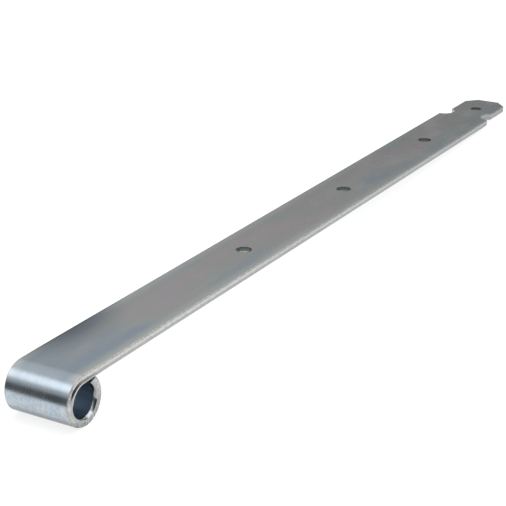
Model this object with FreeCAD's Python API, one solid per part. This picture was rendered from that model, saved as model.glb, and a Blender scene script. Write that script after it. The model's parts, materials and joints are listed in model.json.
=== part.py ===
import FreeCAD
import Part
import math
import os

# The band of a hook and band hinge: a long flat steel bar with its near end rolled into an eye.
# Lengths are millimetres and angles are degrees.
# The origin is the middle of the eye's bore. +X runs along the band to its tip, +Y along the bore and
# +Z up. The flat lies above the eye, with its top face tangent to the roll.
# The bar is one piece of metal. It goes over the eye's back, under the bore and up again at the front,
# where its cut end closes against the underside of the flat.

# Flat bar. Its sides are sheared: rounded at the top, square down to the break, and tapering in below it.
bar_width = 35.0
bar_thickness = 4.0
bar_corner_round = 0.6
break_height = 1.8
break_taper = 0.15
lower_corner_round = 0.3

# Eye, for a hook with a 16 mm pin
pin_diameter = 16.0
pin_clearance = 0.5
seam_gap = 0.2
end_cut_slope = 17.0
end_corner_round = 0.4

# Edge of the bar where it is rolled. Its stretched outside draws in, and its squeezed inside swells
# into a lip that is rounded into the bore. Both run out along the start of the flat.
edge_draw_in = 0.35
lip_height = 0.15
lip_depth = 0.75
mouth_length = 1.5
lip_run_out = 14.0

# Flat and tip
band_reach = 500.0
head_width = 28.5
tip_width = 15.0
tip_chamfer_length = 7.5
notch_radius = 7.5
notch_from_tip = 37.5
cut_edge_round = 0.4

# Punched holes on the centre line, rounded by the punch above and broken out wider below
hole_count = 3
hole_diameter = 8.0
first_hole_from_eye = 164.0
last_hole_from_tip = 108.0
tip_hole_diameter = 7.0
tip_hole_from_tip = 22.5
punch_round = 0.35
break_out_depth = 1.2
break_out_width = 0.25

bore_radius = (pin_diameter + pin_clearance) / 2
roll_radius = bore_radius + bar_thickness
half_width = bar_width / 2
hole_pitch = (band_reach - first_hole_from_eye - last_hole_from_tip) / max(hole_count - 1, 1)
centre = FreeCAD.Vector(0, 0, 0)
along_band = FreeCAD.Vector(1, 0, 0)
along_bore = FreeCAD.Vector(0, 1, 0)
up = FreeCAD.Vector(0, 0, 1)
touching = 1e-4


def line(a, b):
    return Part.LineSegment(a, b).toShape()


def curve(*poles):
    bezier = Part.BezierCurve()
    bezier.setPoles(list(poles))
    return bezier.toShape()


def rounding(start, end, corner):
    """Quarter of a circle from start to end that rounds off a square corner."""
    hub = start + end - corner
    middle = hub + (corner - hub) * math.sqrt(0.5)
    return Part.Arc(start, middle, end).toShape()


def plain_edge(at):
    """Sheared edge of the bar, from its top face to its underside."""
    corner = bar_corner_round
    lower = lower_corner_round
    high = at(half_width - corner, bar_thickness)
    side_high = at(half_width, bar_thickness - corner)
    side_break = at(half_width, break_height)
    foot = half_width - break_taper
    return [
        rounding(high, side_high, at(half_width, bar_thickness)),
        line(side_high, side_break),
        line(side_break, at(foot, lower)),
        rounding(at(foot, lower), at(foot - lower, 0), at(foot, 0)),
    ]


def rolled_edge(at):
    """Edge of the bar in the eye, from the outside of the roll to the bore."""
    corner = bar_corner_round
    side = half_width - edge_draw_in
    crest = half_width + lip_height
    high = at(side - corner, bar_thickness)
    side_high = at(side, bar_thickness - corner)
    hollow = at(side, break_height)
    lip = at(crest, lip_depth)
    mouth = at(crest - mouth_length, 0)
    flank_pull = (break_height - lip_depth) / 2
    round_share = 0.45
    return [
        rounding(high, side_high, at(side, bar_thickness)),
        line(side_high, hollow),
        curve(hollow, at(side, break_height - flank_pull), at(crest, lip_depth + flank_pull), lip),
        curve(lip, at(crest, round_share * lip_depth), at(crest - round_share * mouth_length, 0), mouth),
    ]


def bar_outline(x, edge):
    """Closed outline of the bar where it is x from the eye's centre, with the same edge on both sides."""
    near = edge(lambda y, height: FreeCAD.Vector(x, -y, bore_radius + height))
    far = edge(lambda y, height: FreeCAD.Vector(x, y, bore_radius + height))
    top = line(far[0].firstVertex().Point, near[0].firstVertex().Point)
    bottom = line(near[-1].lastVertex().Point, far[-1].lastVertex().Point)
    return Part.Wire([top] + near + [bottom] + far[::-1])


def end_cut():
    """A point on the sloping cut that ends the bar, just under the flat, and the cut's upward normal."""
    height = bore_radius - seam_gap
    point = FreeCAD.Vector(math.sqrt(roll_radius ** 2 - height ** 2), 0, height)
    slope = math.radians(end_cut_slope)
    return point, FreeCAD.Vector(-math.sin(slope), 0, math.cos(slope))


def above_end_cut():
    """The space in front of the eye's centre that the cut end of the bar doesn't reach."""
    point, _ = end_cut()
    size = 4 * roll_radius
    slab = Part.makeBox(2 * size, 2 * bar_width, size, FreeCAD.Vector(-size, -bar_width, 0))
    slab.rotate(centre, along_bore, -end_cut_slope)
    slab.translate(point)
    front = Part.makeBox(size, 2 * bar_width, 2 * size, FreeCAD.Vector(0, -bar_width, -size))
    return slab.common(front)


def eye():
    """The roll, from the top over its back and under the bore to the sloping cut at its front."""
    turn_angle = 355.0
    turned = Part.Face(bar_outline(0, rolled_edge)).revolve(centre, -along_bore, turn_angle)
    roll = turned.cut(above_end_cut())
    point, normal = end_cut()

    def on_cut(edge):
        long = edge.BoundBox.YLength > half_width
        return long and all(abs((v.Point - point).dot(normal)) < touching for v in edge.Vertexes)

    return roll.makeFillet(end_corner_round, [e for e in roll.Edges if on_cut(e)])


def lead_in():
    """The start of the flat, where the rolled edge runs out into the plain one."""
    return Part.makeLoft([bar_outline(0, rolled_edge), bar_outline(lip_run_out, plain_edge)], True, True)


def tip_blank():
    """The flat's plan as a plate with room to spare beside the bar, up to the notches and the head."""
    notch_x = band_reach - notch_from_tip
    beside = half_width + bar_thickness
    corners = [
        (0, beside),
        (notch_x, beside),
        (notch_x, head_width / 2),
        (band_reach - tip_chamfer_length, head_width / 2),
        (band_reach, tip_width / 2),
    ]
    corners += [(x, -y) for x, y in reversed(corners)]
    points = [FreeCAD.Vector(x, y, bore_radius) for x, y in corners]
    plate = Part.Face(Part.makePolygon(points + points[:1])).extrude(up * bar_thickness)
    for side in (-half_width, half_width):
        notch = Part.makeCylinder(notch_radius, bar_thickness, FreeCAD.Vector(notch_x, side, bore_radius))
        plate = plate.cut(notch)
    start = notch_x - notch_radius - touching
    level = [e for e in plate.Edges if e.BoundBox.ZLength < touching and e.BoundBox.XMin > start]
    return plate.makeFillet(cut_edge_round, level)


def flat():
    """The straight bar, cut to its tip."""
    length = band_reach - lip_run_out
    bar = Part.Face(bar_outline(lip_run_out, plain_edge)).extrude(along_band * length)
    return bar.common(tip_blank())


def punch(x, diameter):
    """A hole in the flat at x from the eye's centre, as a solid to cut away."""
    radius = diameter / 2
    below = bore_radius - bar_thickness
    above = roll_radius + bar_thickness

    def at(r, z):
        return FreeCAD.Vector(x + r, 0, z)

    foot = at(0, below)
    wide = radius + break_out_width
    wall_foot = at(radius, bore_radius + break_out_depth)
    wall_top = at(radius, roll_radius - punch_round)
    rim = at(radius + punch_round, roll_radius)
    lower = [foot, at(wide, below), at(wide, bore_radius), wall_foot, wall_top]
    upper = [rim, at(radius + punch_round, above), at(0, above), foot]
    edges = [line(a, b) for a, b in zip(lower, lower[1:])]
    edges.append(rounding(wall_top, rim, at(radius, roll_radius)))
    edges += [line(a, b) for a, b in zip(upper, upper[1:])]
    return Part.Face(Part.Wire(edges)).revolve(FreeCAD.Vector(x, 0, 0), up, 360)


def holes():
    row = [punch(first_hole_from_eye + i * hole_pitch, hole_diameter) for i in range(hole_count)]
    return row + [punch(band_reach - tip_hole_from_tip, tip_hole_diameter)]


def hinge_band():
    band = eye().fuse([lead_in(), flat()]).removeSplitter()
    return band.cut(holes())


os.makedirs("parts", exist_ok=True)
band = hinge_band()
print("solids", len(band.Solids), "valid", band.isValid(), "volume in cm3", round(band.Volume / 1000, 2))
band.Solids[0].exportStep("parts/hinge_band.step")
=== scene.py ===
# %% [markdown]
# The band of a hook and band hinge is one long steel bar. It is sheared to width, cut and punched flat,
# rolled into an eye at one end, and then zinc plated as a whole. The packed model holds its form and its
# real size. This lesson reads that frame and dresses it: a finer skin of the same form, the plating, a
# floor, soft light and a camera.

# %% Load the frame
import json
import math

import bmesh
import bpy
import numpy as np
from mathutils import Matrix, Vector, noise


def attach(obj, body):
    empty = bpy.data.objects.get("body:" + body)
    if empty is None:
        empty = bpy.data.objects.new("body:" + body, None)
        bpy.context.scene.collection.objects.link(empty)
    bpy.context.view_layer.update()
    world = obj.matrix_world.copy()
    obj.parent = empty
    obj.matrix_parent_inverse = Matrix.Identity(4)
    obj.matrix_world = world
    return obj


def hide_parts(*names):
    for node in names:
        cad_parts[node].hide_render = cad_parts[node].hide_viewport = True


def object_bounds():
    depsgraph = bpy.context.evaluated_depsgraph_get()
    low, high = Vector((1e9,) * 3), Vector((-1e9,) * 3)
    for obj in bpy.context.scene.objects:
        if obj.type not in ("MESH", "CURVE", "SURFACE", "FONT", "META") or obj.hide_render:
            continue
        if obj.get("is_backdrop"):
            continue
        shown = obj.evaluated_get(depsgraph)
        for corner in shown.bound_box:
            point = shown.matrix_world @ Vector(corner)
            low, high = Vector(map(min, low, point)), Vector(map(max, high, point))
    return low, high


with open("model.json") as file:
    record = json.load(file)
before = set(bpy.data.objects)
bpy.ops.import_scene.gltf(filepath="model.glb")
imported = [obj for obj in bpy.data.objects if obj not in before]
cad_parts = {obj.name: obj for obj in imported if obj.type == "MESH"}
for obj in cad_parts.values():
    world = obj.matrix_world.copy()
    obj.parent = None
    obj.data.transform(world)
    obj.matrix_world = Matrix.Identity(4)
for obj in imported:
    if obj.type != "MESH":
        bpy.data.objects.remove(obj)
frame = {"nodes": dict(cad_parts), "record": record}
cad_low, cad_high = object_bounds()
print("the packed band measures", [round(1000 * size, 2) for size in cad_high - cad_low], "mm")

# %% [markdown]
# Blender works in metres, and a bar is read most easily in millimetres. So every size below is in
# millimetres, and the mesh is scaled once, when it is written. The sizes that others fasten to are read
# from the packed record: the bore that takes the pin, and the four holes. The outer sizes come from the
# box of the model. The flat's top face is tangent to the roll, so the height of the box gives the bar's
# thickness too.

# %% Sizes read from the frame
MM = 0.001
mounts = {mount["name"]: mount for mount in frame["record"]["mounts"]}
bore_radius = mounts["pin_bore"]["dims"]["r_mm"]
roll_radius = cad_high.z / MM
thickness = roll_radius - bore_radius
reach = cad_high.x / MM

pair = mounts["first_and_second_hole"]
pair_middle = pair["pos_m"][0] / MM
pair_pitch = pair["dims"]["spacing_x_mm"]
hole_radius = pair["dims"]["hole_r_mm"]
third_hole = mounts["third_hole"]["pos_m"][0] / MM
bar_holes = [pair_middle - pair_pitch / 2, pair_middle + pair_pitch / 2, third_hole]
tip_hole = mounts["tip_hole"]["pos_m"][0] / MM
tip_hole_radius = mounts["tip_hole"]["dims"]["r_mm"]
holes = [(place, hole_radius) for place in bar_holes] + [(tip_hole, tip_hole_radius)]
print("bar", round(thickness, 2), "mm thick, reach", round(reach, 1), "mm")
print("holes (place, radius):", holes)

# %% [markdown]
# The smaller forms aren't in the record, so they are named here with the sizes that the solid has. A
# sheared side is rounded where the blade went in, square down to the break, and leans in below it. In
# the roll the stretched outside draws in, and the squeezed inside swells into a lip. The solid has the
# same lip all the way round. On the real eye it changes, so the table gives its shape at several turns
# from the top of the roll, in degrees. It stands proudest where the roll begins, and even leans a little
# into the bore there. It is low at the back, and at the front it opens into a bell with a straight
# slope. At the bar's end, which was never bent, it is gone.

# %% Sizes of edges, notches and the roll's end
solid_lip = 0.15
half_width = cad_high.y / MM - solid_lip
lip_run_out = 14.0
LIP_TURNS = (0, 68, 98, 165, 190, 218, 242, 262, 285, 322)
LIP_SHAPES = {
    "corner round": (0.50, 0.50, 0.55, 0.45, 0.25, 0.25, 0.25, 0.25, 0.25, 0.30),
    "side inset": (0.28, 0.28, 0.35, 0.20, -0.12, -0.12, -0.12, -0.10, 0.00, 0.10),
    "flank height": (2.05, 2.80, 1.80, 1.80, 1.80, 1.80, 1.80, 1.80, 1.80, 1.00),
    "crest inset": (-0.42, -0.42, -0.05, -0.05, -0.12, -0.12, -0.12, 0.00, 0.05, 0.15),
    "crest height": (0.95, 1.40, 0.90, 0.90, 1.10, 1.25, 1.15, 1.20, 0.90, 0.35),
    "outer pull inset": (-0.42, -0.42, -0.05, -0.05, 0.35, 0.28, 0.12, 0.12, 0.08, 0.15),
    "outer pull height": (0.10, 0.20, 0.25, 0.40, 0.66, 0.85, 0.85, 0.90, 0.50, 0.18),
    "inner pull inset": (-0.34, -0.34, 0.30, 0.45, 0.60, 0.68, 0.65, 0.90, 0.35, 0.35),
    "inner pull height": (-0.05, -0.05, 0.00, 0.00, 0.22, 0.25, 0.30, 0.10, 0.00, 0.00),
    "mouth inset": (0.55, 0.55, 1.20, 1.10, 1.10, 1.30, 1.55, 1.40, 0.75, 0.65),
}
end_tuck = 0.25
end_tuck_turn = 260

bar_corner_round = 0.6
break_height = 1.8
break_taper = 0.15
lower_corner_round = 0.3
cut_edge_round = 0.4

notch_radius = 7.5
notch_centre = reach - 37.5
head_half_width = 14.25
tip_half_width = 7.5
tip_chamfer_length = 7.5

punch_round = 0.35
break_out_depth = 1.2
break_out_width = 0.25

seam_gap = 0.2
end_cut_slope = math.radians(17.0)
print("half width", half_width, "mm,", len(LIP_SHAPES), "sizes of the lip at", len(LIP_TURNS), "turns")

# %% [markdown]
# The camera stands low, near the eye, and looks along the bar to its tip. Its place and its heading were
# found by fitting a pinhole camera to the bar's edges, to the circles of the eye and to the holes of the
# reference picture. A focal length in pixels turns into a lens by the width of the sensor.

# %% Camera
CAMERA_PLACE = Vector((-464.2, -374.7, 294.5))
CAMERA_HEADING = math.radians(30.44)
CAMERA_DIP = math.radians(21.24)
PICTURE_WIDTH = 506
FOCAL_PIXELS = 1498.9


def direction(heading, elevation):
    """Unit vector at a heading from +X towards +Y and an elevation above the level, in radians."""
    level = math.cos(elevation)
    return Vector((level * math.cos(heading), level * math.sin(heading), math.sin(elevation)))


camera_data = bpy.data.cameras.new("camera")
camera_data.lens = camera_data.sensor_width * FOCAL_PIXELS / PICTURE_WIDTH
camera_data.clip_start = 0.01
camera_data.clip_end = 20.0
camera = bpy.data.objects.new("camera", camera_data)
camera.location = CAMERA_PLACE * MM
camera.rotation_euler = direction(CAMERA_HEADING, -CAMERA_DIP).to_track_quat("-Z", "Y").to_euler()
bpy.context.collection.objects.link(camera)
bpy.context.scene.camera = camera
bpy.context.scene.view_settings.view_transform = "Standard"
print("lens", round(camera_data.lens, 1), "mm")

# %% [markdown]
# Shader maths reads best as plain expressions. A small class wraps one output of a node. When two of
# them, or one and a number, meet an operator, it adds the Math node. Every other node comes from one
# method, which takes the node's type, its settings and what goes into its sockets.


# %% A socket that does sums
class Wire:
    """An output socket of the node tree that is being built."""

    tree = None

    def __init__(self, socket):
        self.socket = socket

    @classmethod
    def start(cls, owner):
        """Empties the node tree of a material or a world and builds in it from now on."""
        owner.use_nodes = True
        owner.node_tree.nodes.clear()
        cls.tree = owner.node_tree

    @classmethod
    def node(cls, kind, settings=(), inputs=(), output=0):
        """Adds a node: first its settings, then the values or links of its sockets."""
        made = cls.tree.nodes.new(kind)
        for name, value in dict(settings).items():
            if name == "stops":
                cls.set_stops(made.color_ramp, value)
            else:
                setattr(made, name, value)
        for name, value in dict(inputs).items():
            if isinstance(value, Wire):
                cls.tree.links.new(value.socket, made.inputs[name])
            else:
                made.inputs[name].default_value = value
        return cls(made.outputs[output]) if made.outputs else None

    @staticmethod
    def set_stops(ramp, stops):
        """Fills a colour ramp with pairs of a place and a colour."""
        while len(ramp.elements) < len(stops):
            ramp.elements.new(1.0)
        for element, (place, colour) in zip(ramp.elements, stops):
            element.position = place
            element.color = colour

    def math(self, operation, *others):
        return Wire.node("ShaderNodeMath", {"operation": operation}, enumerate((self, *others)))

    def __add__(self, other):
        return self.math("ADD", other)

    def __sub__(self, other):
        return self.math("SUBTRACT", other)

    def __rsub__(self, other):
        return (self * -1.0).math("ADD", other)

    def __mul__(self, other):
        return self.math("MULTIPLY", other)

    __radd__ = __add__
    __rmul__ = __mul__

    def step(self, start, end):
        """Rises smoothly from 0 at start to 1 at end. Start may be above end."""
        if start > end:
            return 1.0 - self.step(end, start)
        inputs = {"Value": self, "From Min": start, "From Max": end}
        return Wire.node("ShaderNodeMapRange", {"interpolation_type": "SMOOTHSTEP"}, inputs)


def blend(mask, first, second, share=1.0):
    """The first colour where the mask is 0, and a share of the second over it where the mask is 1.

    Inputs 6 and 7 of the Mix node are its two colours, and output 2 is the blended one.
    """
    factor = mask if share == 1.0 else mask * share
    return Wire.node("ShaderNodeMix", {"data_type": "RGBA"}, {0: factor, 6: first, 7: second}, output=2)


def grey(value):
    return (value, value, value, 1.0)


print("a socket can:", [name for name in vars(Wire) if not name.startswith("_")])


# %% [markdown]
# The band lies as it would on a bench. The bottom of its eye and the lower edge of its tip touch the
# floor, so the bar leans by a little over two degrees. The part keeps its own frame, and the floor is
# what is turned: it is the plane that is tangent to the roll and passes through the tip's edge. It is
# seen only from above, so that the underside of the band can be looked at too. Like the glowing table
# of a product studio it gives off light of its own, which fades only where the band lies close to it.
# So the shadows stay faint.

# %% Floor
FLOOR_SIZE = 8.0
FLOOR_TONE = 0.3
FLOOR_GLOW = 0.92
GLOW_IN_CONTACT = 0.78
CONTACT_REACH = 12.0
tip_rest = Vector((reach - cut_edge_round, 0, bore_radius))
lean = math.atan2(tip_rest.z, tip_rest.x) + math.asin(roll_radius / tip_rest.length)
floor_normal = Vector((-math.sin(lean), 0, math.cos(lean)))

floor_mesh = bpy.data.meshes.new("floor")
floor_corners = [(-1, -1, 0), (1, -1, 0), (1, 1, 0), (-1, 1, 0)]
floor_mesh.from_pydata([Vector(corner) * FLOOR_SIZE / 2 for corner in floor_corners], [], [(0, 1, 2, 3)])
floor = bpy.data.objects.new("floor", floor_mesh)
floor.location = floor_normal * -roll_radius * MM
floor.rotation_euler = (0, -lean, 0)
bpy.context.collection.objects.link(floor)
floor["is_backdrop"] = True

floor_paint = bpy.data.materials.new("floor_paint")
Wire.start(floor_paint)
openness = Wire.node("ShaderNodeAmbientOcclusion", inputs={"Distance": CONTACT_REACH * MM}, output="AO")
matt = Wire.node("ShaderNodeBsdfDiffuse", inputs={"Color": grey(FLOOR_TONE)})
glow = openness * (FLOOR_GLOW - GLOW_IN_CONTACT) + GLOW_IN_CONTACT
glow = Wire.node("ShaderNodeEmission", inputs={"Color": grey(1.0), "Strength": glow})
glowing = Wire.node("ShaderNodeAddShader", inputs={0: matt, 1: glow})
clear = Wire.node("ShaderNodeBsdfTransparent")
seen_from_below = Wire.node("ShaderNodeNewGeometry", output="Backfacing")
shown = Wire.node("ShaderNodeMixShader", inputs={0: seen_from_below, 1: glowing, 2: clear})
Wire.node("ShaderNodeOutputMaterial", inputs={"Surface": shown})
floor_mesh.materials.append(floor_paint)
print("the floor leans", round(math.degrees(lean), 2), "degrees under the band")

# %% [markdown]
# Bright metal has no colour of its own to show: it shows the room. The room is therefore designed by
# what the band mirrors. The flat mirrors the wall behind it, which is a mid grey that darkens towards
# the floor. In front the room is dark low down, and that draws the thin dark line round the lip of the
# eye. The photographer's own place is dark too, and shows as a small dark patch in the bell at the mouth
# of the bore. A pale corner beside it lights the bell's next stretch. The wall is a colour ramp from
# straight below (0) over the level (0.5) to straight above (1). Each of the three places in front is
# where the direction looked in comes near to its own, so its edge is given in cosines.

# %% Room
ROOM = [
    (0.00, grey(0.35)),
    (0.47, grey(0.30)),
    (0.49, grey(0.05)),
    (0.55, grey(0.06)),
    (0.60, grey(0.09)),
    (0.65, grey(0.27)),
    (0.68, grey(0.47)),
    (0.72, grey(0.52)),
    (0.77, grey(0.67)),
    (0.85, grey(0.72)),
    (0.93, grey(0.77)),
    (1.00, grey(0.58)),
]
DARK_FRONT = direction(math.radians(-98), 0)
FRONT_EDGE = (0.45, 0.75)
FRONT_TOP = (0.60, 0.47)
PHOTOGRAPHER = direction(math.radians(-134), math.radians(24))
PHOTOGRAPHER_EDGE = (0.95, 0.985)
PHOTOGRAPHER_SHARE = 0.85
PALE_CORNER = direction(math.radians(-152), math.radians(4))
PALE_EDGE = (0.90, 0.97)
PALE_TONE = grey(0.30)
DARK_TONE = grey(0.04)
DARK_SHARE = 0.90

world = bpy.data.worlds.new("room")
Wire.start(world)
looking = Wire.node("ShaderNodeTexCoord", output="Generated")
upward = Wire.node("ShaderNodeSeparateXYZ", inputs={0: looking}, output="Z")
wall = Wire.node("ShaderNodeValToRGB", {"stops": ROOM}, {0: upward * 0.5 + 0.5})


def nearness(place):
    """Cosine of the angle between the direction looked in and a place in the room."""
    vectors = {0: looking, 1: tuple(place)}
    return Wire.node("ShaderNodeVectorMath", {"operation": "DOT_PRODUCT"}, vectors, "Value")


dark_front = nearness(DARK_FRONT).step(*FRONT_EDGE) * upward.step(*FRONT_TOP)
photographer = nearness(PHOTOGRAPHER).step(*PHOTOGRAPHER_EDGE) * PHOTOGRAPHER_SHARE
wall = blend(nearness(PALE_CORNER).step(*PALE_EDGE), wall, PALE_TONE)
wall = blend(dark_front.math("MAXIMUM", photographer), wall, DARK_TONE, share=DARK_SHARE)
seen_past_the_floor = Wire.node("ShaderNodeLightPath", output="Is Camera Ray")
wall = blend(seen_past_the_floor, wall, grey(1.0))
room = Wire.node("ShaderNodeBackground", inputs={"Color": wall, "Strength": 1.0})
Wire.node("ShaderNodeOutputWorld", inputs={"Surface": room})
bpy.context.scene.world = world
print("the room takes", len(world.node_tree.nodes), "nodes")

# %% [markdown]
# Soft lights are bright rectangles, as a photographer's soft boxes are. The back of the roll mirrors one
# that hangs above and behind. Another hangs above the mouth of the bore and gives the bell its bright
# streak. The one overhead is mirrored by no face, and keeps the floor pale.


# %% Lights
def soft_light(name, heading, elevation, distance, size, brightness, mirrored=True):
    """A rectangle of light that faces the eye. Its brightness is what a perfect mirror would show.

    A mirrored light is seen in the metal alone, and the other kind lights the floor alone. Headings
    and elevations are in degrees, distances and sizes in metres.
    """
    width, height = size
    data = bpy.data.lights.new(name, "AREA")
    data.shape = "RECTANGLE"
    data.size = width
    data.size_y = height
    data.energy = brightness * math.pi * width * height
    light = bpy.data.objects.new(name, data)
    towards = direction(math.radians(heading), math.radians(elevation))
    light.location = towards * distance
    light.rotation_euler = towards.to_track_quat("Z", "Y").to_euler()
    light.visible_glossy = mirrored
    light.visible_diffuse = not mirrored
    bpy.context.collection.objects.link(light)


soft_light("light_behind_roll", 122, 46, distance=1.2, size=(0.60, 0.46), brightness=1.1)
soft_light("light_above_mouth", -60, 56, distance=1.2, size=(1.00, 0.85), brightness=1.4)
soft_light("light_overhead", 0, 89, distance=2.4, size=(1.6, 1.6), brightness=1.2, mirrored=False)
print("lights:", [item.name for item in bpy.data.lights])

# %% [markdown]
# Photographers of bright metal stand black cards beside it, just out of the picture, because only a
# dark reflection gives a round form its edge. One stands to the left of the eye. It is hidden from the
# camera and throws no shadow, so that it shows in the metal's mirror and nowhere else.

# %% Black card
CARD_X, CARD_LEFT, CARD_RIGHT, CARD_TOP = -72.0, -60.0, 330.0, 30.0
CARD_TONE = 0.10
card_mesh = bpy.data.meshes.new("black_card")
card_foot = -roll_radius
card_corners = [
    (CARD_X, CARD_LEFT, card_foot),
    (CARD_X, CARD_RIGHT, card_foot),
    (CARD_X, CARD_RIGHT, CARD_TOP),
    (CARD_X, CARD_LEFT, CARD_TOP),
]
card_mesh.from_pydata([Vector(corner) * MM for corner in card_corners], [], [(0, 1, 2, 3)])
card = bpy.data.objects.new("black_card", card_mesh)
card.visible_camera = False
card.visible_shadow = False
card.visible_diffuse = False
bpy.context.collection.objects.link(card)
card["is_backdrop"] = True
card_paint = bpy.data.materials.new("black_card")
Wire.start(card_paint)
black = Wire.node("ShaderNodeBsdfDiffuse", inputs={"Color": grey(CARD_TONE)})
Wire.node("ShaderNodeOutputMaterial", inputs={"Surface": black})
card_mesh.materials.append(card_paint)
print("the card is", CARD_RIGHT - CARD_LEFT, "mm long and", CARD_TOP - card_foot, "mm high")

# %% [markdown]
# An edge of the bar is drawn as a line of points from the top face down to the underside. Each point
# has its inset from the bar's nominal side and its height above the underside. Four small functions
# draw such lines: a rounding, a straight stretch, a curve, and several of them joined.


# %% Lines of points
def rounding(start, end, corner, steps):
    """Quarter of a circle from start to end that rounds off a square corner."""
    start, end, corner = map(np.array, (start, end, corner))
    hub = start + end - corner
    turn = np.linspace(0, math.pi / 2, steps + 1)[:, None]
    return hub + (start - hub) * np.cos(turn) + (end - hub) * np.sin(turn)


def straight(start, end, steps):
    share = np.linspace(0, 1, steps + 1)[:, None]
    return np.array(start) * (1 - share) + np.array(end) * share


def curve(a, b, c, d, steps):
    """Cubic curve from a to d that is pulled towards b and c."""
    t = np.linspace(0, 1, steps + 1)[:, None]
    a, b, c, d = map(np.array, (a, b, c, d))
    return a * (1 - t) ** 3 + 3 * b * t * (1 - t) ** 2 + 3 * c * t**2 * (1 - t) + d * t**3


def joined(*stretches):
    """One line of points. Where two stretches meet, their common point is kept once."""
    return np.vstack([stretches[0]] + [points[1:] for points in stretches[1:]])


print("points of a test curve:", curve((0, 0), (0, 1), (1, 1), (1, 0), steps=2).tolist())

# %% [markdown]
# There are three edges: the plain sheared one, the rolled one with its lip, and the cut one of notches,
# head and tip. They have the same number of points, so that one can run out into the next. The rolled
# edge looks up its shape in the table of the lip, and the shapes run smoothly into each other.

# %% Edges of the bar
ROUND_STEPS, SIDE_STEPS, BREAK_STEPS, LOWER_STEPS = 6, 3, 8, 12
FLANK_PULL = 0.25


def plain_edge():
    corner, lower, foot = bar_corner_round, lower_corner_round, break_taper
    side_high = (0, thickness - corner)
    side_break = (0, break_height)
    return joined(
        rounding((corner, thickness), side_high, (0, thickness), ROUND_STEPS),
        straight(side_high, side_break, SIDE_STEPS),
        straight(side_break, (foot, lower), BREAK_STEPS),
        rounding((foot, lower), (foot + lower, 0), (foot, 0), LOWER_STEPS),
    )


def eased(place, places, values):
    """A value between the listed ones, which leaves and reaches each of them level."""
    after = min(max(np.searchsorted(places, place), 1), len(places) - 1)
    share = np.clip((place - places[after - 1]) / (places[after] - places[after - 1]), 0, 1)
    share = share * share * (3 - 2 * share)
    return values[after - 1] * (1 - share) + values[after] * share


def rolled_edge(turn):
    """The edge in the roll, at a turn in degrees from its top."""
    lip = {name: eased(turn, LIP_TURNS, values) for name, values in LIP_SHAPES.items()}
    corner, side = lip["corner round"], lip["side inset"]
    side_high = (side, thickness - corner)
    foot = np.array([side, lip["flank height"]])
    crest = np.array([lip["crest inset"], lip["crest height"]])
    bend_in = (foot - crest) * [0, FLANK_PULL]
    outer_pull = (lip["outer pull inset"], lip["outer pull height"])
    inner_pull = (lip["inner pull inset"], lip["inner pull height"])
    return joined(
        rounding((side + corner, thickness), side_high, (side, thickness), ROUND_STEPS),
        straight(side_high, foot, SIDE_STEPS),
        curve(foot, foot - bend_in, crest + bend_in, crest, BREAK_STEPS),
        curve(crest, outer_pull, inner_pull, (lip["mouth inset"], 0), LOWER_STEPS),
    )


def cut_inset(height):
    """How far a cut face stands back at a height, where its long edges are rounded."""
    depth = np.maximum(cut_edge_round - np.minimum(height, thickness - height), 0)
    return cut_edge_round - np.sqrt(cut_edge_round**2 - depth**2)


PLAIN = plain_edge()
CUT = np.column_stack([cut_inset(PLAIN[:, 1]), PLAIN[:, 1]])
print("points down each edge:", len(PLAIN))

# %% [markdown]
# The bar is modelled straight, as the maker has it before it is rolled, and bent afterwards. So each
# point has three bar coordinates: how far along, how far across and how high. Bending is one formula.
# A point that lies before the start of the flat goes round the pin by its share of the full turn. The
# turn is longer at the bore than outside, because the end is cut square and closes as a sloping face.

# %% Bending the bar into the eye
seam_height = bore_radius - seam_gap
seam_x = math.sqrt(roll_radius**2 - seam_height**2)
cut_distance = seam_height * math.cos(end_cut_slope) - seam_x * math.sin(end_cut_slope)


def full_turn(radius):
    """Angle from the top of the roll to its cut end at that radius."""
    return 2 * math.pi + end_cut_slope - np.arccos(cut_distance / radius)


middle_radius = bore_radius + thickness / 2
eye_length = full_turn(middle_radius) * middle_radius


def bend(bar):
    """Turns bar coordinates into places in the frame, and tucks the last part of the roll in a little."""
    along, across, height = bar.T
    turn = np.maximum(-along, 0) / eye_length * full_turn(bore_radius + height)
    to_end = np.clip((np.degrees(turn) - end_tuck_turn) / (LIP_TURNS[-1] - end_tuck_turn), 0, 1)
    radius = bore_radius + height - end_tuck * to_end**2
    x = np.maximum(along, 0) - radius * np.sin(turn)
    return np.column_stack([x, across, radius * np.cos(turn)])


print("the eye takes", round(eye_length, 1), "mm of bar")

# %% [markdown]
# Sections of the far edge stand one behind the other, from the end that is rolled to the tip. Each is
# the line of an edge with its place along the bar. A fourth column holds the distance to the nearest
# cut side, which the plating's material uses later. Where two faces of the head meet at a corner, the
# section stands on the mitre between them.

# %% Sections
heights = PLAIN[:, 1]


def section(along, edge, width=half_width):
    """An edge that stands square at one place along the bar."""
    to_side = np.maximum(edge[:, 0] - edge[ROUND_STEPS, 0], 0)
    return np.column_stack([np.full(len(edge), along), width - edge[:, 0], edge[:, 1], to_side])


def rolled_section(along):
    turn = math.degrees(-along / eye_length * full_turn(middle_radius))
    return section(along, rolled_edge(turn))


def mitre(corner, first_facing, first_inset, second_facing, second_inset):
    """Section on the corner of two faces that stand back by the given insets."""
    facing = np.array([first_facing, second_facing], float)
    facing /= np.linalg.norm(facing, axis=1)[:, None]
    moved = np.linalg.solve(facing, -np.array([first_inset, second_inset]))
    to_side = np.minimum(first_inset, second_inset)
    return np.column_stack([corner[0] + moved[0], corner[1] + moved[1], heights, to_side])


print("the first section starts at", rolled_section(-eye_length)[0].round(2).tolist())

# %% [markdown]
# On straight stretches the sections are about 2 mm apart, in the roll closer, and round a hole as close
# as the ring of faces there needs. Each hole gets a square cell of its own, which reaches 7 mm from the
# hole's centre. The notch is round, so its sections turn about the notch's centre.

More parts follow.
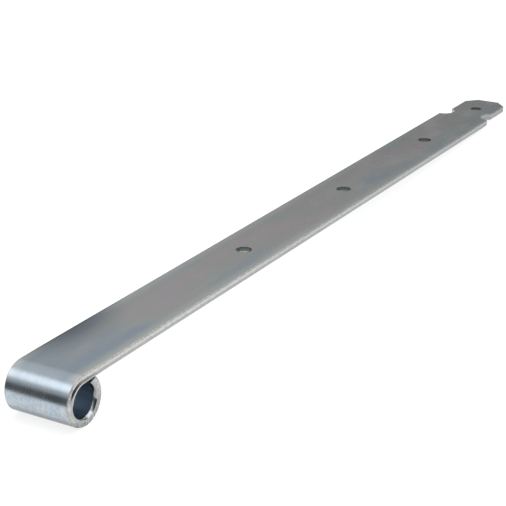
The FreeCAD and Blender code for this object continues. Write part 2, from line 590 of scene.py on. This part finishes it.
# %% From the eye to the tip
CELL_REACH = 7.0
CELL_STEPS = 12
NOTCH_STEPS = 18
ROLL_STEPS = 108


def lay(sections, goal, steps=None, spacing=2.0):
    """Adds sections up to the goal, which is the last of them."""
    start = sections[-1]
    if steps is None:
        steps = max(1, round(abs(goal[0, 0] - start[0, 0]) / spacing))
    sections += [start + (goal - start) * share for share in np.linspace(0, 1, steps + 1)[1:]]


def notch():
    """Sections round the notch, from the bar's side to the head's. Each height has its own arc."""
    inset = CUT[:, 0]
    radius = notch_radius + inset
    first = math.pi + np.arcsin(PLAIN[:, 0] / radius)
    last = 2 * math.pi - np.arcsin((half_width - head_half_width + inset) / radius)
    for share in np.linspace(0, 1, NOTCH_STEPS + 1):
        turn = first + (last - first) * share
        x = notch_centre + radius * np.cos(turn)
        y = half_width + radius * np.sin(turn)
        yield np.column_stack([x, y, heights, inset])


def far_edge():
    """All sections, and the numbers of the first and the last one beside each hole."""
    sections = [rolled_section(along) for along in np.linspace(-eye_length, 0, ROLL_STEPS + 1)]
    sections[0][:, 0] += cut_inset(sections[0][:, 2])
    cells = []
    lay(sections, section(lip_run_out, PLAIN), spacing=1.0)
    for hole in bar_holes:
        lay(sections, section(hole - CELL_REACH, PLAIN))
        lay(sections, section(hole + CELL_REACH, PLAIN), CELL_STEPS)
        cells.append(len(sections) - 1)
    around = list(notch())
    lay(sections, around[0])
    sections += around[1:]
    lay(sections, section(tip_hole - CELL_REACH, CUT, head_half_width), steps=2)
    lay(sections, section(tip_hole + CELL_REACH, CUT, head_half_width), CELL_STEPS)
    cells.append(len(sections) - 1)
    level, chamfer, end = (0, 1), (head_half_width - tip_half_width, tip_chamfer_length), (1, 0)
    inset = CUT[:, 0]
    lay(sections, mitre((reach - tip_chamfer_length, head_half_width), level, inset, chamfer, inset))
    lay(sections, mitre((reach, tip_half_width), chamfer, inset, end, inset), spacing=1.0)
    return np.array(sections), cells


sections, cell_ends = far_edge()
print(len(sections), "sections of", sections.shape[1], "points")

# %% [markdown]
# Each side of the bar is a sheet of four-sided faces: the far edge, the near edge as its mirror, the
# top, the underside and the two ends. The sheets share their border points, and welding those turns
# them into one closed skin. Top and underside leave out a square cell round each hole.

# %% Sheets of faces
OUTER_COLUMNS = 6
WIDEST_MIDDLE = 0.8
corners_of_bar, faces_of_bar = [], []


def sheet(points):
    """Adds the faces between the points of a grid, which has rows, columns and four numbers a point."""
    rows, columns = points.shape[:2]
    first = sum(len(block) for block in corners_of_bar)
    corners_of_bar.append(points.reshape(-1, points.shape[-1]))
    number = first + np.arange(rows * columns).reshape(rows, columns)
    quads = np.stack([number[:-1, :-1], number[:-1, 1:], number[1:, 1:], number[1:, :-1]], axis=-1)
    faces_of_bar.extend(quads.reshape(-1, 4).tolist())


def across(point):
    """A row of points from the far edge to the near one, the middle ones as wide as a hole's cell."""
    along, side, height, to_side = point
    inner = min(CELL_REACH, WIDEST_MIDDLE * side)
    outer = np.linspace(side, inner, OUTER_COLUMNS + 1)
    middle = np.linspace(inner, -inner, CELL_STEPS + 1)
    y = np.concatenate([outer[:-1], middle, -outer[-2::-1]])
    level = np.ones(len(y))
    return np.column_stack([along * level, y, height * level, to_side + side - np.abs(y)])


def broad_face(points):
    """The top or the underside, from the points of its far border. Cells round holes stay open."""
    rows = np.array([across(point) for point in points])
    inner, outer = OUTER_COLUMNS, OUTER_COLUMNS + CELL_STEPS
    sheet(rows[:, : inner + 1])
    sheet(rows[:, outer:])
    start = 0
    for cell_end in cell_ends:
        sheet(rows[start : cell_end - CELL_STEPS + 1, inner : outer + 1])
        start = cell_end
    sheet(rows[start:, inner : outer + 1])


sheet(sections)
sheet(sections * [1, -1, 1, 1])
broad_face(sections[:, 0])
broad_face(sections[:, -1])
for end_section in (sections[0], sections[-1]):
    sheet(np.array([across(point) for point in end_section]))
print(len(faces_of_bar), "faces before the holes")

# %% [markdown]
# A punched hole has a rim that is drawn in by the punch, a straight wall, and a wider break-out below.
# Rings of faces lead from the square cell to the circle of the rim, so no long thin faces meet at the
# hole. The wall is the punch's profile, turned round the hole.


# %% Punched holes
RING_SHARES = (0.0, 0.3, 0.58, 0.8, 0.93, 1.0)
WALL_STEPS = 3


def cell_border(hole):
    """Points of the square cell round a hole, in order, and the first one again at the end."""
    steps = np.linspace(-CELL_REACH, CELL_REACH, CELL_STEPS + 1)
    side = np.full(CELL_STEPS + 1, CELL_REACH)
    border = joined(
        np.column_stack([steps, -side]),
        np.column_stack([side, steps]),
        np.column_stack([steps[::-1], side]),
        np.column_stack([-side, steps[::-1]]),
    )
    return border + [hole, 0]


def loop(points, height):
    """Gives plan points their height, and a distance to the side that the hole's own will undercut."""
    count = len(points)
    return np.column_stack([points, np.full(count, height), np.full(count, half_width)])


def punched_hole(hole, radius):
    border = cell_border(hole)
    centre = np.array([hole, 0])
    outward = (border - centre) / np.linalg.norm(border - centre, axis=1)[:, None]
    wall_top = (radius, thickness - punch_round)
    wall_foot = (radius, break_out_depth)
    profile = joined(
        rounding((radius + punch_round, thickness), wall_top, (radius, thickness), ROUND_STEPS),
        straight(wall_top, wall_foot, WALL_STEPS),
        straight(wall_foot, (radius + break_out_width, 0), WALL_STEPS),
    )
    for rim, height in (profile[0], profile[-1]):
        circle = centre + outward * rim
        sheet(np.array([loop(border + (circle - border) * share, height) for share in RING_SHARES]))
    sheet(np.array([loop(centre + outward * ring, height) for ring, height in profile]))


for hole, radius in holes:
    punched_hole(hole, radius)
print(len(faces_of_bar), "faces with the holes")

# %% [markdown]
# Two things about the straight bar are worked out from its coordinates. A real bar is never quite flat:
# it has been rolled, straightened and bent, and that makes the mirrored room waver a little. So a few
# hundredths of a millimetre of slow unevenness are taken from the height of every point, the same on
# both faces, and the thickness stays. And the plating differs near a cut, so each point is told how far
# the nearest cut is, how high it lies above the line where the steel broke, and whether a hole is meant.

# %% Unevenness, and distances to the cuts
WAVE_HEIGHT = 0.03
WAVE_LENGTH, WAVE_WIDTH = 45.0, 22.0
NOISE_LEVEL = 0.5


def unevenness(bar):
    """Slow waves along and across the bar, from about -1 to 1."""
    places = bar[:, :2] / [WAVE_LENGTH, WAVE_WIDTH]
    return np.array([noise.noise(Vector((x, y, NOISE_LEVEL))) for x, y in places])


def distances_to_cuts(bar, to_side):
    """Distance to the nearest cut, height above the break there, and 1 where the cut is a hole."""
    distance = np.minimum(to_side, np.minimum(bar[:, 0] + eye_length, reach - bar[:, 0]))
    above_break = bar[:, 2] - break_height
    at_hole = np.zeros(len(bar))
    for hole, radius in holes:
        to_hole = np.hypot(bar[:, 0] - hole, bar[:, 1]) - radius
        above_break = np.where(to_hole < distance, bar[:, 2] - break_out_depth, above_break)
        at_hole = np.where(to_hole < distance, 1, at_hole)
        distance = np.minimum(distance, to_hole)
    return np.column_stack([np.maximum(distance, 0), above_break, at_hole])


print("the unevenness is at most", WAVE_HEIGHT, "mm deep")

# %% [markdown]
# Now the sheets become one mesh. They are welded while the bar is still straight, because in the roll
# the seam brings the end so close to the flat that the two could be welded as well. Then the bar is bent
# and scaled to metres, and every point keeps its bar coordinates for the plating.

# %% The skin of the band
WELD_DISTANCE = 0.002


def welded(points, faces):
    """One closed mesh of the sheets, still straight. The fourth number is kept as an attribute."""
    mesh = bpy.data.meshes.new("band")
    mesh.from_pydata(points[:, :3].tolist(), [], faces)
    to_side = mesh.attributes.new("to_side", "FLOAT", "POINT")
    to_side.data.foreach_set("value", points[:, 3].astype(np.float32))
    skin = bmesh.new()
    skin.from_mesh(mesh)
    bmesh.ops.remove_doubles(skin, verts=skin.verts, dist=WELD_DISTANCE)
    bmesh.ops.recalc_face_normals(skin, faces=skin.faces)
    print("open edges:", sum(not edge.is_manifold for edge in skin.edges))
    skin.to_mesh(mesh)
    skin.free()
    return mesh


def shape(mesh):
    """Bends the straight mesh, and keeps each point's bar coordinates and distances as attributes."""
    count = len(mesh.vertices)
    bar = np.empty(count * 3)
    mesh.vertices.foreach_get("co", bar)
    bar = bar.reshape(count, 3)
    to_side = np.empty(count)
    mesh.attributes["to_side"].data.foreach_get("value", to_side)
    for name, values in (("bar", bar), ("cut", distances_to_cuts(bar, to_side))):
        mesh.attributes.new(name, "FLOAT_VECTOR", "POINT").data.foreach_set("vector", values.ravel())
    mesh.attributes.remove(mesh.attributes["to_side"])
    lowered = bar - np.outer(WAVE_HEIGHT * (1 + unevenness(bar)) / 2, [0, 0, 1])
    mesh.vertices.foreach_set("co", (bend(lowered) * MM).ravel())
    mesh.update()


band_mesh = welded(np.vstack(corners_of_bar), faces_of_bar)
shape(band_mesh)
band = bpy.data.objects.new("zinc_plated_band", band_mesh)
bpy.context.collection.objects.link(band)
print("skin:", len(band_mesh.vertices), "points,", len(band_mesh.polygons), "faces")

# %% [markdown]
# The faces are shaded smooth, apart from edges that turn by more than 30 degrees, such as the corners
# of the notches. Weighted normals let the large faces decide the shading, so that a small rounding
# beside a broad face doesn't tint it. The skin stands for the packed node, so the two volumes are
# compared.

# %% Smooth shading, and a test against the packed node
SHARP_ANGLE = math.radians(30)
CM3_IN_M3 = 1e6


def volume(mesh):
    """Volume of a closed mesh in cubic centimetres."""
    copy = bmesh.new()
    copy.from_mesh(mesh)
    cubic_metres = copy.calc_volume()
    copy.free()
    return cubic_metres * CM3_IN_M3


band_mesh.shade_smooth()
band_mesh.set_sharp_from_angle(angle=SHARP_ANGLE)
weighted = band.modifiers.new("weighted_normals", "WEIGHTED_NORMAL")
weighted.keep_sharp = True
packed_mesh = frame["nodes"]["hinge_band"].data
print("volume", round(volume(band_mesh), 2), "cm3, and the packed node's", round(volume(packed_mesh), 2))

# %% [markdown]
# Bright zinc with a blue passivation is a thin clear film on a satin metal. Its tint, its tone and its
# sharpness change from place to place, and each change is a mask: a number that is 1 on the place and 0
# off it, with a soft border. The bar coordinates that the mesh carries say where a place is. They also
# let grain and streaks follow the bar round the roll, as they do on steel that was rolled flat first.
# So every grain below is given by its real length, width and depth in millimetres.

# %% Coordinates and grain of the plating
plating = bpy.data.materials.new("bright_zinc_plating")
Wire.start(plating)


def carried(name):
    """A vector that the mesh carries at each point."""
    return Wire.node("ShaderNodeAttribute", {"attribute_name": name}, output="Vector")


def part_of(vector, axis):
    return Wire.node("ShaderNodeSeparateXYZ", inputs={0: vector}, output=axis)


bar_place = carried("bar")
cut_place = carried("cut")
along, height = part_of(bar_place, "X"), part_of(bar_place, "Z")
side = part_of(bar_place, "Y").math("ABSOLUTE")
to_cut, above_break, at_hole = [part_of(cut_place, axis) for axis in "XYZ"]


def grain(length, width, depth, detail=2.0, shift=0.0):
    """Noise from about 0 to 1, with grains of that size along, across and through the bar."""
    scaled = Wire.node(
        "ShaderNodeVectorMath",
        {"operation": "MULTIPLY_ADD"},
        {0: bar_place, 1: (1 / length, 1 / width, 1 / depth), 2: (shift, shift, shift)},
    )
    return Wire.node("ShaderNodeTexNoise", inputs={"Vector": scaled, "Scale": 1.0, "Detail": detail})


scored = grain(0.70, 8.0, 6.0, detail=0.0, shift=2.3).step(0.43, 0.57)
mottled = grain(1.4, 1.4, 1.4, detail=3.0, shift=5.7).step(0.44, 0.58)
print("coordinates and grain:", len(plating.node_tree.nodes), "nodes")

# %% [markdown]
# Along the flat, a place is its distance from the eye's centre. In the roll it is negative and counts
# the bar's length back from the top of the eye: about -16 mm at the back, -32 underneath and -48 in
# front. A sheared side or a punched wall is polished by the tool at first. Below a wandering line,
# which lies a little higher in the holes, it is torn, because the rest of the steel broke away. The
# mouth of the bore is its rounded lip, which is broader at the top and the back of the eye.

# %% Places on the band
BREAK_WANDER = 0.7
HIGHER_IN_HOLES = 0.5
BROADER_LIP = 0.9


def between(value, rise, full, still_full, gone):
    """A mask that begins at rise, is 1 from full to still_full and ends at gone."""
    return value.step(rise, full) * value.step(gone, still_full)


in_roll = along.step(4.0, -4.0)
in_bore = along.step(1.0, -2.0) * height.step(0.5, 0.15) * to_cut.step(1.0, 2.0)
on_cut = to_cut.step(0.45, 0.1)
in_hole = on_cut * at_hole
above_tear = above_break - at_hole * HIGHER_IN_HOLES + (grain(6.0, 6.0, 6.0) - 0.5) * BREAK_WANDER
fractured = on_cut * above_tear.step(0.12, -0.12)
burnished = on_cut - fractured
below_lip_top = (height - along.step(-22.0, -14.0) * BROADER_LIP).step(1.9, 1.5)
in_mouth = in_roll * below_lip_top * (1.0 - in_bore)
on_outside = height.step(2.5, 3.2)
print("places and grain:", len(plating.node_tree.nodes), "nodes")

# %% [markdown]
# The clear film over the zinc shows a tint by its thickness. It is thick and blue round the eye and
# along the sides, and thinner in the middle of the bar, where it turns neutral, pink and straw in long
# soft patches. Towards the tip it turns a little green. One number stands for the thickness, and a
# colour ramp turns it into the tint. The patches are calmer on the roll, which is why they are scaled
# down there.

# %% Tint of the film
FILM_TINTS = [
    (0.00, (0.585, 0.560, 0.505, 1.0)),
    (0.20, (0.590, 0.550, 0.545, 1.0)),
    (0.36, (0.565, 0.545, 0.570, 1.0)),
    (0.50, (0.545, 0.550, 0.545, 1.0)),
    (0.64, (0.515, 0.560, 0.555, 1.0)),
    (0.80, (0.465, 0.530, 0.585, 1.0)),
    (1.00, (0.425, 0.505, 0.585, 1.0)),
]
PLAIN_FILM = 0.43
PATCHINESS = 1.9
CALMER_ON_ROLL = 0.5
EYE_BLUE = 0.48
SIDE_BLUE = 0.20
TIP_GREEN = 0.18

patches = (grain(60.0, 14.0, 12.0, detail=4.0, shift=3.1) - 0.5) * PATCHINESS
film = PLAIN_FILM + patches * (1.0 - along.step(20.0, 0.0) * CALMER_ON_ROLL)
film = film + along.step(100.0, 45.0) * EYE_BLUE
film = film + side.step(8.0, 17.0) * (1.0 - in_roll) * SIDE_BLUE
film = film + along.step(430.0, 470.0) * TIP_GREEN
zinc = Wire.node("ShaderNodeValToRGB", {"stops": FILM_TINTS}, {0: film})
print("the film has", len(FILM_TINTS), "tints")

# %% [markdown]
# The far edge beside the eye is darker, in a soft patch. Its mask is the distance to the patch's
# middle, with each direction measured in its own reach, so it fades out like a long soft ball. The long
# edges are rubbed bright by handling, but not in the dark patch, and less towards the tip and on the
# roll.

# %% Place of the dark patch, and rubbed edges
STAIN_MIDDLE = (37.0, 20.5, 4.0)
STAIN_REACH = (42.0, 22.0, 9.0)
RUBBED_ZINC = (0.63, 0.665, 0.655, 1.0)
LESS_AT_TIP = 0.6
LESS_ON_ROLL = 0.7

from_stain = Wire.node("ShaderNodeVectorMath", {"operation": "SUBTRACT"}, {0: bar_place, 1: STAIN_MIDDLE})
from_stain = Wire.node("ShaderNodeVectorMath", {"operation": "DIVIDE"}, {0: from_stain, 1: STAIN_REACH})
stain_distance = Wire.node("ShaderNodeVectorMath", {"operation": "LENGTH"}, {0: from_stain}, "Value")
stained = stain_distance.step(1.1, 0.1)
rubbed = side.step(11.0, 16.5) * (1.0 - stained)
rubbed = rubbed * (1.0 - along.step(220.0, 420.0) * LESS_AT_TIP)
rubbed = rubbed * (1.0 - along.step(-3.0, -7.0) * LESS_ON_ROLL)
zinc = blend(rubbed, zinc, RUBBED_ZINC)
print("the stain reaches", STAIN_REACH, "mm from", STAIN_MIDDLE)

# %% [markdown]
# Down its back the roll is painted darker in two steps, a mottled painted shade. A strip above the line
# on which the band lies is darkest, a painted contact shadow. Towards the front of the eye the shade
# ends.

# %% Painted shade under the roll
DULL_ZINC = (0.30, 0.33, 0.345, 1.0)
DARKEST_ZINC = (0.14, 0.155, 0.165, 1.0)
DULL_BACK = 0.2
DULL_BELOW = 0.5
DULL_MOTTLING = 0.35

dull = along.step(-12.0, -17.0) * DULL_BACK + along.step(-18.0, -24.0) * DULL_BELOW
dull = dull + (mottled - 0.5) * along.step(-13.0, -16.0) * DULL_MOTTLING
zinc = blend(dull * along.step(-50.0, -40.0) * on_outside, zinc, DULL_ZINC)
# painted contact shadow: the darkest strip, just above where the band lies
dark_strip = between(along, -20.5, -23.5, -26.0, -31.0)
zinc = blend(dark_strip * on_outside, zinc, DARKEST_ZINC, share=0.7)
print("dull zinc:", len(plating.node_tree.nodes), "nodes so far")

# %% [markdown]
# A cut face has score lines and mottling, and its zinc is lighter and greyer than the flat's. On the
# face round the bore it shows how the steel flowed. The lower half was squeezed and is matt, and
# underneath it is torn open into clear lines. At the back a painted shade draws a dark line beside the
# lip, as a groove would. One number gathers how scored and how shaded a point is.

# %% Scored cut faces
CUT_ZINC = (0.61, 0.61, 0.585, 1.0)
SCORED_ZINC = (0.27, 0.27, 0.265, 1.0)
LINE_LEVEL = 0.35
FAINT_LINES, TORN_LINES = 0.15, 1.5
MOTTLING, ROLL_MOTTLING = 0.20, 0.25
SQUEEZED_MATT = 0.45
GROOVE_DARK = 0.8

squeezed = between(along, -23.5, -26.5, -46.0, -52.0)
torn_open = between(along, -31.0, -33.0, -38.0, -39.5)
# painted shade: a dark line beside the lip at the back of the eye
groove = between(along, -10.0, -12.0, -13.5, -16.0) * between(height, 1.3, 1.7, 2.4, 2.9)
scoring = (scored - LINE_LEVEL) * (torn_open * TORN_LINES + FAINT_LINES)
scoring = scoring + mottled * (in_roll * ROLL_MOTTLING + MOTTLING)
scoring = scoring + squeezed * SQUEEZED_MATT + groove * GROOVE_DARK
cut_zinc = blend(scoring, CUT_ZINC, SCORED_ZINC)
print("cut faces:", len(plating.node_tree.nodes), "nodes so far")

# %% [markdown]
# A painted highlight brightens the lip's crest at the top and the back of the eye. Along the bar the cut
# sides are painted darker towards the tip, a painted shade, and on the head they are dark and mottled.
# A painted shade darkens the bell at the front on its inner side, underneath and again beside the bar's
# end.

# %% Painted crest highlight, painted shade on the long sides and the bell
CREST_ZINC = (0.88, 0.88, 0.86, 1.0)
TORN_STEEL = (0.38, 0.39, 0.39, 1.0)
DARK_HEAD, HEAD_MOTTLING = 0.4, 0.5

out_of_bore = in_roll * (1.0 - in_bore)
# painted highlight on the lip's crest
on_crest = out_of_bore * along.step(-17.0, -10.0) * height.step(1.55, 1.15)
cut_zinc = blend(on_crest, cut_zinc, CREST_ZINC)
# painted shade: the cut sides darken along the bar towards the tip
cut_zinc = blend(along.step(60.0, 440.0), cut_zinc, TORN_STEEL, share=0.85)
on_head = along.step(468.0, 476.0) * (mottled * HEAD_MOTTLING + DARK_HEAD)
cut_zinc = blend(on_head, cut_zinc, SCORED_ZINC)
zinc = blend(on_cut, zinc, cut_zinc, share=0.85)
# painted shade on the bell's inner side and beside the bar's end
inner_bell = between(along, -31.0, -33.0, -37.0, -39.5) * height.step(0.65, 0.15)
beside_end = along.step(-43.5, -46.0) * height.step(1.0, 0.6)
zinc = blend((inner_bell + beside_end) * out_of_bore, zinc, SCORED_ZINC)
print("crest and bell:", len(plating.node_tree.nodes), "nodes so far")

# %% [markdown]
# The dark patch goes over flat and cut side alike, and is darkest along the edge itself. Hardly any
# plating gets into the bore and the holes. So the bore's steel stays blue-grey. The punched walls are
# dark from thin plating and from painted shade inside the holes, apart from a lighter patch where they
# are torn. Torn steel is dull.

# %% Dark patch, torn steel, holes and bore
STAIN = (0.165, 0.195, 0.225, 1.0)
STAINED_EDGE = (0.07, 0.08, 0.09, 1.0)
HOLE_STEEL = (0.15, 0.18, 0.175, 1.0)
BORE_STEEL = (0.33, 0.41, 0.50, 1.0)
TORN_SHARE, LESS_IN_HOLES = 0.8, 0.6
HOLE_SHARE, LESS_WHERE_TORN = 0.95, 0.75

zinc = blend(stained, zinc, STAIN, share=0.9)
zinc = blend(stained * side.step(15.5, 17.0), zinc, STAINED_EDGE, share=0.6)
zinc = blend(fractured * (TORN_SHARE - at_hole * LESS_IN_HOLES), zinc, TORN_STEEL)
# thin plating and painted shade darken the punched walls
zinc = blend(in_hole * (HOLE_SHARE - fractured * LESS_WHERE_TORN), zinc, HOLE_STEEL)
zinc = blend(in_bore, zinc, BORE_STEEL, share=0.85)
print("colour of the plating:", len(plating.node_tree.nodes), "nodes so far")

# %% [markdown]
# How sharply the metal mirrors changes too. Faint streaks run along the bar from the rolling mill, and
# soft smudges come from handling. The cut faces are rougher, most of all where they are torn and beside
# the top face, where the blade pressed in. The lip was smoothed by the rolling and mirrors best.

# %% Sharpness of the mirror
SATIN = 0.25
STREAKED = 0.05
SMUDGED = 0.07

streaks = grain(30.0, 0.6, 3.0, detail=3.0)
smudges = grain(24.0, 11.0, 9.0, detail=3.0, shift=7.3).step(0.40, 0.75)
roughness = SATIN + (streaks - 0.5) * STREAKED + smudges * SMUDGED
off_lip = 1.0 - in_mouth
rougher_places = (
    (burnished * off_lip, 0.12),
    (fractured * off_lip, 0.20),
    (on_cut * height.step(3.0, 3.6), 0.20),
    (in_bore, 0.12),
    (in_hole, 0.10),
    (in_mouth, -0.10),
)
for place, more in rougher_places:
    roughness = roughness + place * more
print("places rougher or smoother than the flat:", len(rougher_places))

# %% [markdown]
# Relief is a height in millimetres that a Bump node turns into a bent normal. The pickled steel under
# the zinc has a fine pitted grain, the streaks are shallow grooves, the blade leaves drag lines down the
# sheared sides, and the outside of the roll has faint cross lines where it was stretched.

# %% Relief
PIT_DEPTH = 0.006
STREAK_DEPTH = 0.0008
STRETCH_DEPTH = 0.002
DRAG_DEPTH = 0.04
TORN_DEPTH = 0.06

pitting = grain(1.1, 0.9, 0.9, detail=3.0) * PIT_DEPTH
stretch_lines = grain(0.9, 14.0, 3.0, detail=1.0) * in_roll * STRETCH_DEPTH
drag_lines = (scored + mottled) * burnished * off_lip * -DRAG_DEPTH
torn_grain = grain(0.5, 0.5, 0.5, detail=3.0) * fractured * off_lip * TORN_DEPTH
relief = pitting + streaks * STREAK_DEPTH + stretch_lines + drag_lines + torn_grain
bump = Wire.node("ShaderNodeBump", inputs={"Strength": 1.0, "Distance": MM, "Height": relief})
metal = Wire.node(
    "ShaderNodeBsdfPrincipled",
    inputs={"Base Color": zinc, "Metallic": 1.0, "Roughness": roughness, "Normal": bump},
)
Wire.node("ShaderNodeOutputMaterial", inputs={"Surface": metal})
band_mesh.materials.append(plating)
print("plating:", len(plating.node_tree.nodes), "nodes")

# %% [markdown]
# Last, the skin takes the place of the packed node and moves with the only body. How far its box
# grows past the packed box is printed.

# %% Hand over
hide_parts("hinge_band")
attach(band, "root")
low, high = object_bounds()
growth = (*(cad_low - low), *(high - cad_high))
print("growth past the packed box, mm:", [round(size / MM, 3) for size in growth])
